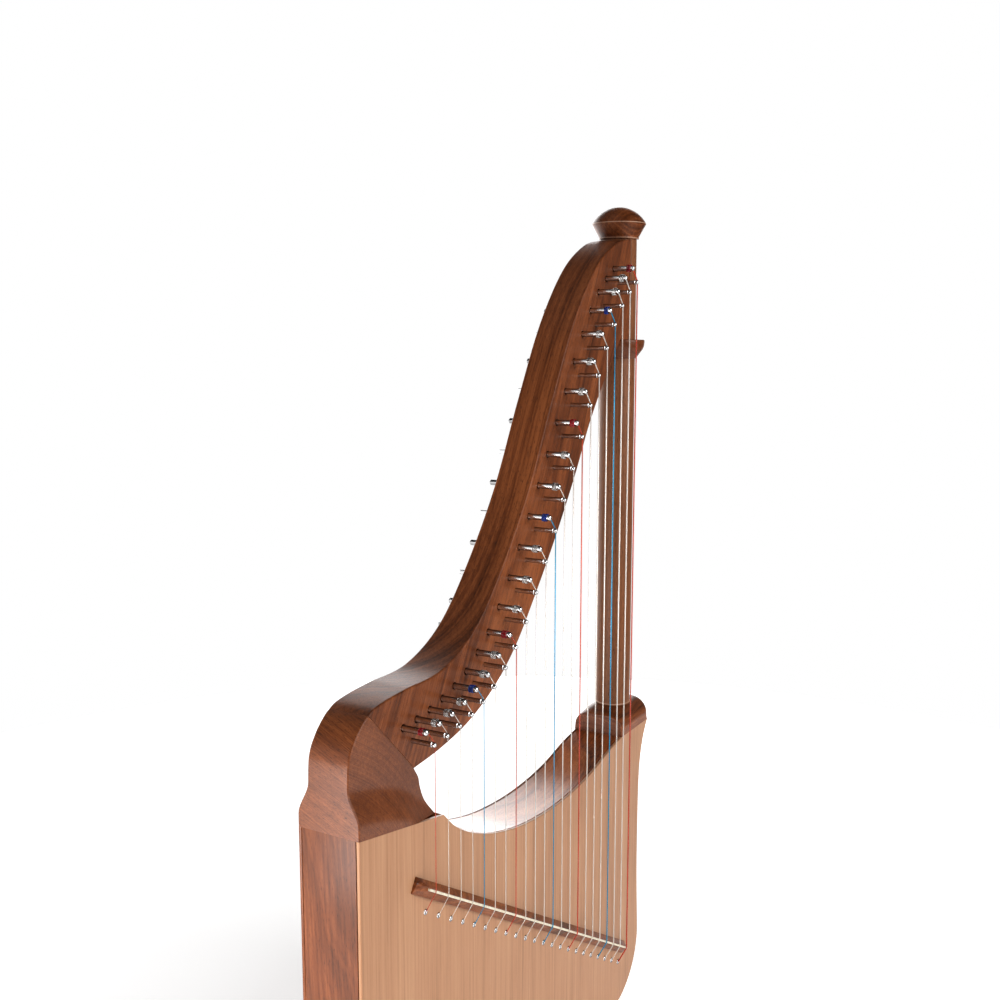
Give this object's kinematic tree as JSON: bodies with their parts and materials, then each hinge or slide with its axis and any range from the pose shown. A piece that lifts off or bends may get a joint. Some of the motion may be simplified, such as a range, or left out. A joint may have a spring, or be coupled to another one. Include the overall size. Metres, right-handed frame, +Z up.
{
  "type": "harp",
  "caption": "Wooden lap harp with a curved neck, round column and flat soundbox, strings parallel to the soundboard on turning pins.",
  "frame": {"origin": "centre of the overall box, at the flat underside that the harp stands on", "axes": "+Z up along the column, +X from the shortest string towards the column, +Y from the string side to the back"},
  "size_m": [0.4946, 0.068, 0.8033],
  "materials": {
    "walnut": "satin lacquered walnut",
    "walnut_dark": "satin lacquered dark walnut",
    "soundboard_wood": "pale straight-grained softwood, satin",
    "inner_wood": "bare softwood",
    "pin_chrome": "polished nickel-plated steel",
    "string_clear": "clear nylon",
    "string_red": "red nylon",
    "string_blue": "blue nylon"
  },
  "bodies": {
    "root": {"neck": "walnut", "shoulder_block": "walnut", "column": "walnut", "column_cap": "walnut", "column_collar": "walnut_dark", "foot_block": "walnut_dark", "upper_rib": "walnut", "left_rib": "walnut", "right_rib": "walnut", "bottom_rib": "walnut", "soundboard": "soundboard_wood", "back_panel": "walnut", "bridge": "walnut_dark", "string_bar": "inner_wood", "soundboard_brace": "inner_wood", "back_brace": "inner_wood", "string_01": "string_red", "string_02": "string_clear", "string_03": "string_clear", "string_04": "string_clear", "string_05": "string_blue", "string_06": "string_clear", "string_07": "string_clear", "string_08": "string_red", "string_09": "string_clear", "string_10": "string_clear", "string_11": "string_clear", "string_12": "string_blue", "string_13": "string_clear", "string_14": "string_clear", "string_15": "string_red", "string_16": "string_clear", "string_17": "string_clear", "string_18": "string_clear", "string_19": "string_blue", "string_20": "string_clear", "string_21": "string_clear", "string_22": "string_red"},
    "tuning_pin_01": {"tuning_pin_01": "pin_chrome"},
    "tuning_pin_02": {"tuning_pin_02": "pin_chrome"},
    "tuning_pin_03": {"tuning_pin_03": "pin_chrome"},
    "tuning_pin_04": {"tuning_pin_04": "pin_chrome"},
    "tuning_pin_05": {"tuning_pin_05": "pin_chrome"},
    "tuning_pin_06": {"tuning_pin_06": "pin_chrome"},
    "tuning_pin_07": {"tuning_pin_07": "pin_chrome"},
    "tuning_pin_08": {"tuning_pin_08": "pin_chrome"},
    "tuning_pin_09": {"tuning_pin_09": "pin_chrome"},
    "tuning_pin_10": {"tuning_pin_10": "pin_chrome"},
    "tuning_pin_11": {"tuning_pin_11": "pin_chrome"},
    "tuning_pin_12": {"tuning_pin_12": "pin_chrome"},
    "tuning_pin_13": {"tuning_pin_13": "pin_chrome"},
    "tuning_pin_14": {"tuning_pin_14": "pin_chrome"},
    "tuning_pin_15": {"tuning_pin_15": "pin_chrome"},
    "tuning_pin_16": {"tuning_pin_16": "pin_chrome"},
    "tuning_pin_17": {"tuning_pin_17": "pin_chrome"},
    "tuning_pin_18": {"tuning_pin_18": "pin_chrome"},
    "tuning_pin_19": {"tuning_pin_19": "pin_chrome"},
    "tuning_pin_20": {"tuning_pin_20": "pin_chrome"},
    "tuning_pin_21": {"tuning_pin_21": "pin_chrome"},
    "tuning_pin_22": {"tuning_pin_22": "pin_chrome"}
  },
  "joints": [
    {"name": "tuning_pin_01_turn", "type": "hinge", "parent": "root", "child": "tuning_pin_01", "pos_m": [-0.18215, 0, 0.4023], "axis": [0, -1, 0], "range_deg": [-1080, 90]},
    {"name": "tuning_pin_02_turn", "type": "hinge", "parent": "root", "child": "tuning_pin_02", "pos_m": [-0.16507, 0, 0.40389], "axis": [0, -1, 0], "range_deg": [-1080, 90]},
    {"name": "tuning_pin_03_turn", "type": "hinge", "parent": "root", "child": "tuning_pin_03", "pos_m": [-0.14804, 0, 0.40613], "axis": [0, -1, 0], "range_deg": [-1080, 90]},
    {"name": "tuning_pin_04_turn", "type": "hinge", "parent": "root", "child": "tuning_pin_04", "pos_m": [-0.13104, 0, 0.40986], "axis": [0, -1, 0], "range_deg": [-1080, 90]},
    {"name": "tuning_pin_05_turn", "type": "hinge", "parent": "root", "child": "tuning_pin_05", "pos_m": [-0.11409, 0, 0.41498], "axis": [0, -1, 0], "range_deg": [-1080, 90]},
    {"name": "tuning_pin_06_turn", "type": "hinge", "parent": "root", "child": "tuning_pin_06", "pos_m": [-0.09719, 0, 0.42208], "axis": [0, -1, 0], "range_deg": [-1080, 90]},
    {"name": "tuning_pin_07_turn", "type": "hinge", "parent": "root", "child": "tuning_pin_07", "pos_m": [-0.08032, 0, 0.43301], "axis": [0, -1, 0], "range_deg": [-1080, 90]},
    {"name": "tuning_pin_08_turn", "type": "hinge", "parent": "root", "child": "tuning_pin_08", "pos_m": [-0.0635, 0, 0.44551], "axis": [0, -1, 0], "range_deg": [-1080, 90]},
    {"name": "tuning_pin_09_turn", "type": "hinge", "parent": "root", "child": "tuning_pin_09", "pos_m": [-0.04672, 0, 0.46246], "axis": [0, -1, 0], "range_deg": [-1080, 90]},
    {"name": "tuning_pin_10_turn", "type": "hinge", "parent": "root", "child": "tuning_pin_10", "pos_m": [-0.02999, 0, 0.48336], "axis": [0, -1, 0], "range_deg": [-1080, 90]},
    {"name": "tuning_pin_11_turn", "type": "hinge", "parent": "root", "child": "tuning_pin_11", "pos_m": [-0.01329, 0, 0.50593], "axis": [0, -1, 0], "range_deg": [-1080, 90]},
    {"name": "tuning_pin_12_turn", "type": "hinge", "parent": "root", "child": "tuning_pin_12", "pos_m": [0.00336, 0, 0.5294], "axis": [0, -1, 0], "range_deg": [-1080, 90]},
    {"name": "tuning_pin_13_turn", "type": "hinge", "parent": "root", "child": "tuning_pin_13", "pos_m": [0.01996, 0, 0.55347], "axis": [0, -1, 0], "range_deg": [-1080, 90]},
    {"name": "tuning_pin_14_turn", "type": "hinge", "parent": "root", "child": "tuning_pin_14", "pos_m": [0.03653, 0, 0.5786], "axis": [0, -1, 0], "range_deg": [-1080, 90]},
    {"name": "tuning_pin_15_turn", "type": "hinge", "parent": "root", "child": "tuning_pin_15", "pos_m": [0.05305, 0, 0.60465], "axis": [0, -1, 0], "range_deg": [-1080, 90]},
    {"name": "tuning_pin_16_turn", "type": "hinge", "parent": "root", "child": "tuning_pin_16", "pos_m": [0.06953, 0, 0.6309], "axis": [0, -1, 0], "range_deg": [-1080, 90]},
    {"name": "tuning_pin_17_turn", "type": "hinge", "parent": "root", "child": "tuning_pin_17", "pos_m": [0.08596, 0, 0.65647], "axis": [0, -1, 0], "range_deg": [-1080, 90]},
    {"name": "tuning_pin_18_turn", "type": "hinge", "parent": "root", "child": "tuning_pin_18", "pos_m": [0.10236, 0, 0.68035], "axis": [0, -1, 0], "range_deg": [-1080, 90]},
    {"name": "tuning_pin_19_turn", "type": "hinge", "parent": "root", "child": "tuning_pin_19", "pos_m": [0.11871, 0, 0.70133], "axis": [0, -1, 0], "range_deg": [-1080, 90]},
    {"name": "tuning_pin_20_turn", "type": "hinge", "parent": "root", "child": "tuning_pin_20", "pos_m": [0.13501, 0, 0.71855], "axis": [0, -1, 0], "range_deg": [-1080, 90]},
    {"name": "tuning_pin_21_turn", "type": "hinge", "parent": "root", "child": "tuning_pin_21", "pos_m": [0.15128, 0, 0.73136], "axis": [0, -1, 0], "range_deg": [-1080, 90]},
    {"name": "tuning_pin_22_turn", "type": "hinge", "parent": "root", "child": "tuning_pin_22", "pos_m": [0.1675, 0, 0.74108], "axis": [0, -1, 0], "range_deg": [-1080, 90]}
  ]
}
